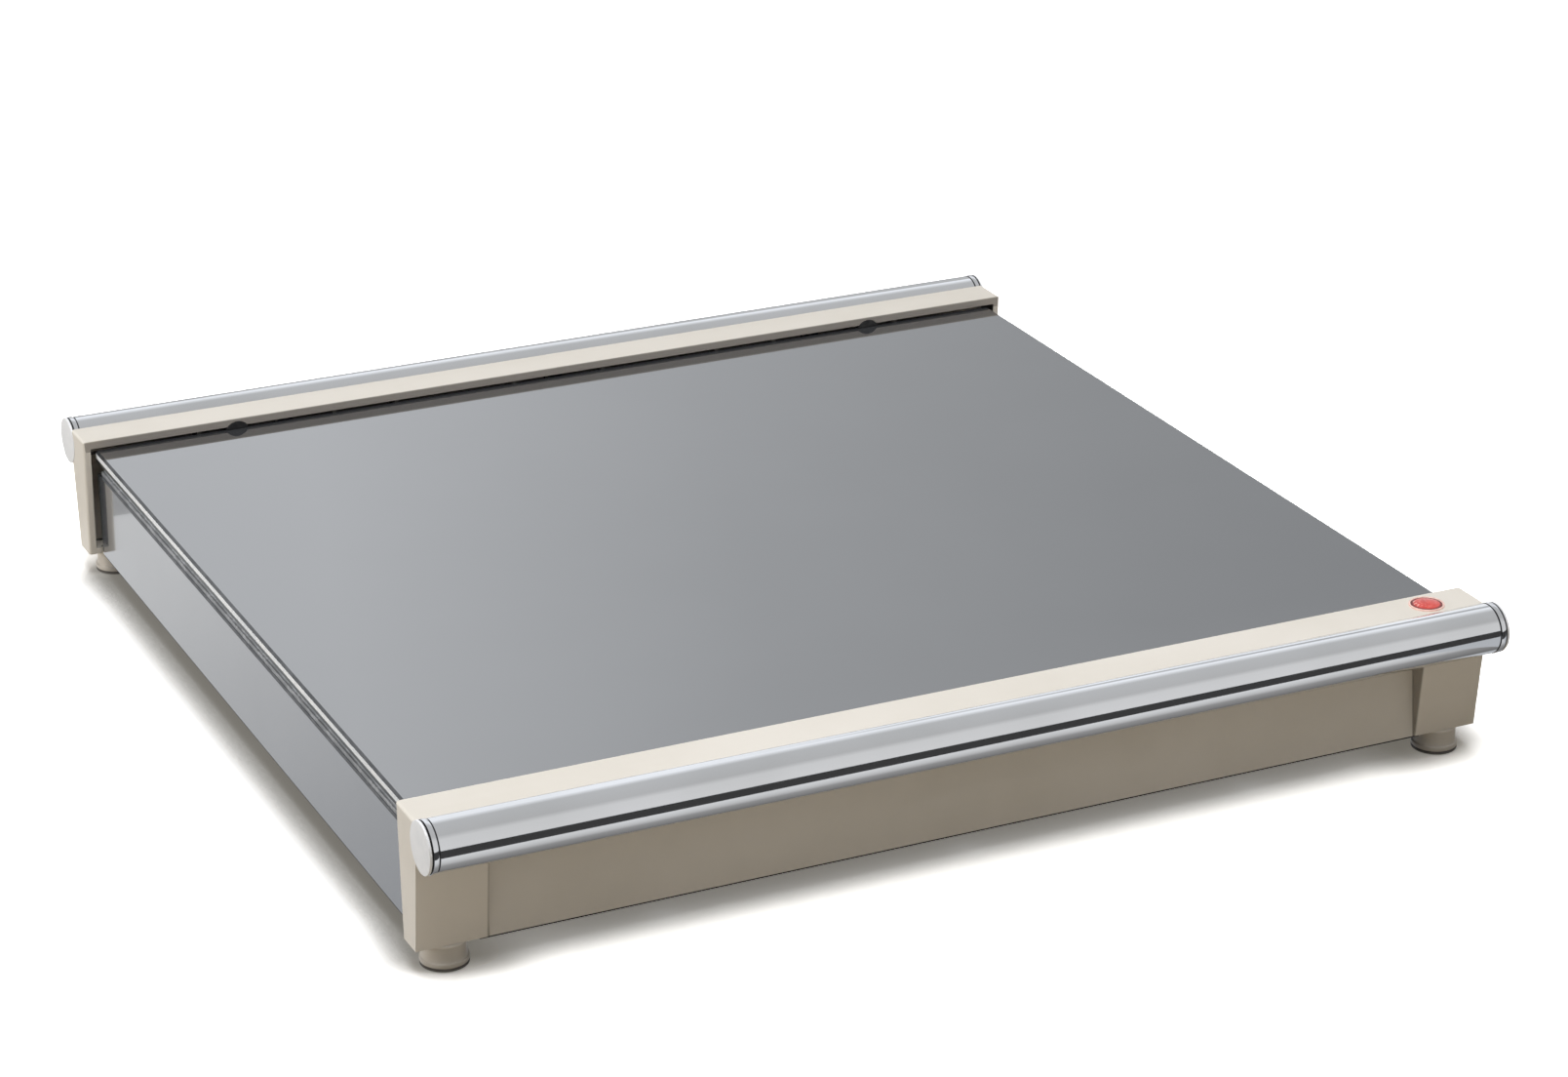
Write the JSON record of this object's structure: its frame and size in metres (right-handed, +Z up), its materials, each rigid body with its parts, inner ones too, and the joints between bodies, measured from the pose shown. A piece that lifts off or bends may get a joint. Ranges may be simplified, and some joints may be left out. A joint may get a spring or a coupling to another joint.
{
  "type": "electric food warmer tray",
  "caption": "Flat electric warming tray: dark glass top on a sheet metal body, moulded end beams with chrome handle tubes, short feet and a red lit push switch",
  "frame": {"origin": "on the floor under the centre of the tray, at the middle of the bounding box base", "axes": "+X to the right along the end beams, +Y to the back across the glass, +Z up; the switch is at the front right"},
  "size_m": [0.4512, 0.4624, 0.0663],
  "materials": {
    "glass_top": "dark tinted, polished, reflective",
    "seal": "black silicone, matte",
    "body_sheet": "glossy dark grey enamel",
    "cover_sheet": "dark grey paint, satin",
    "beam": "warm beige moulding, satin",
    "tube": "bright chrome plate",
    "cap": "satin",
    "pad": "dark grey rubber",
    "retainer": "black, matte",
    "bezel": "pale translucent",
    "lens": "red translucent lens",
    "plunger": "natural white",
    "spring": "spring wire",
    "housing": "black thermoset",
    "terminal": "tinned brass",
    "lamp": "small neon lamp",
    "spreader": "mill finish sheet",
    "element": "resistance strip",
    "mica": "mica sheet",
    "mat": "white mineral fibre mat",
    "pan": "galvanised sheet",
    "brown_wire": "brown insulation",
    "blue_wire": "blue insulation",
    "earth_wire": "green and yellow insulation",
    "screw": "zinc plated"
  },
  "bodies": {
    "tray": {"beam_screws": "screw", "bottom_cover": "cover_sheet", "button_bezel": "bezel", "button_spring": "spring", "cover_screws": "screw", "earth_stud": "terminal", "earth_wire": "earth_wire", "element_wire": "brown_wire", "foot_front_left": "beam", "foot_front_right": "beam", "foot_pad_front_left": "pad", "foot_pad_front_right": "pad", "foot_pad_rear_left": "pad", "foot_pad_rear_right": "pad", "foot_rear_left": "beam", "foot_rear_right": "beam", "foot_screws": "screw", "front_beam": "beam", "front_tube": "tube", "glass_plate": "glass_top", "glass_retainers": "retainer", "glass_seal": "seal", "heat_spreader": "spreader", "heating_element": "element", "inlet_housing": "housing", "inlet_pins": "terminal", "insulation_mat": "mat", "live_wire": "brown_wire", "mica_sheet": "mica", "neutral_wire": "blue_wire", "pilot_lamp": "lamp", "pressure_pan": "pan", "rear_beam": "beam", "rear_tube": "tube", "support_rails": "pan", "switch_body": "housing", "switch_contacts": "terminal", "switched_wire": "brown_wire", "thermal_fuse": "pan", "thermostat_base": "housing", "thermostat_blades": "terminal", "thermostat_cap": "spreader", "tray_body": "body_sheet", "tube_cap_front_left": "cap", "tube_cap_front_right": "cap", "tube_cap_rear_left": "cap", "tube_cap_rear_right": "cap", "tube_collar_front_left": "tube", "tube_collar_front_right": "tube", "tube_collar_rear_left": "tube", "tube_collar_rear_right": "tube", "tube_screws": "screw", "wire_grommet": "seal"},
    "button": {"button_cap": "lens", "button_plunger": "plunger"}
  },
  "joints": [
    {"name": "button_press", "type": "slide", "parent": "tray", "child": "button", "axis": [0, 0, -1], "range_m": [0, 0.0018], "stiffness_N_per_m": 400, "springref_m": -0.002, "deforming": ["button_spring"]}
  ]
}
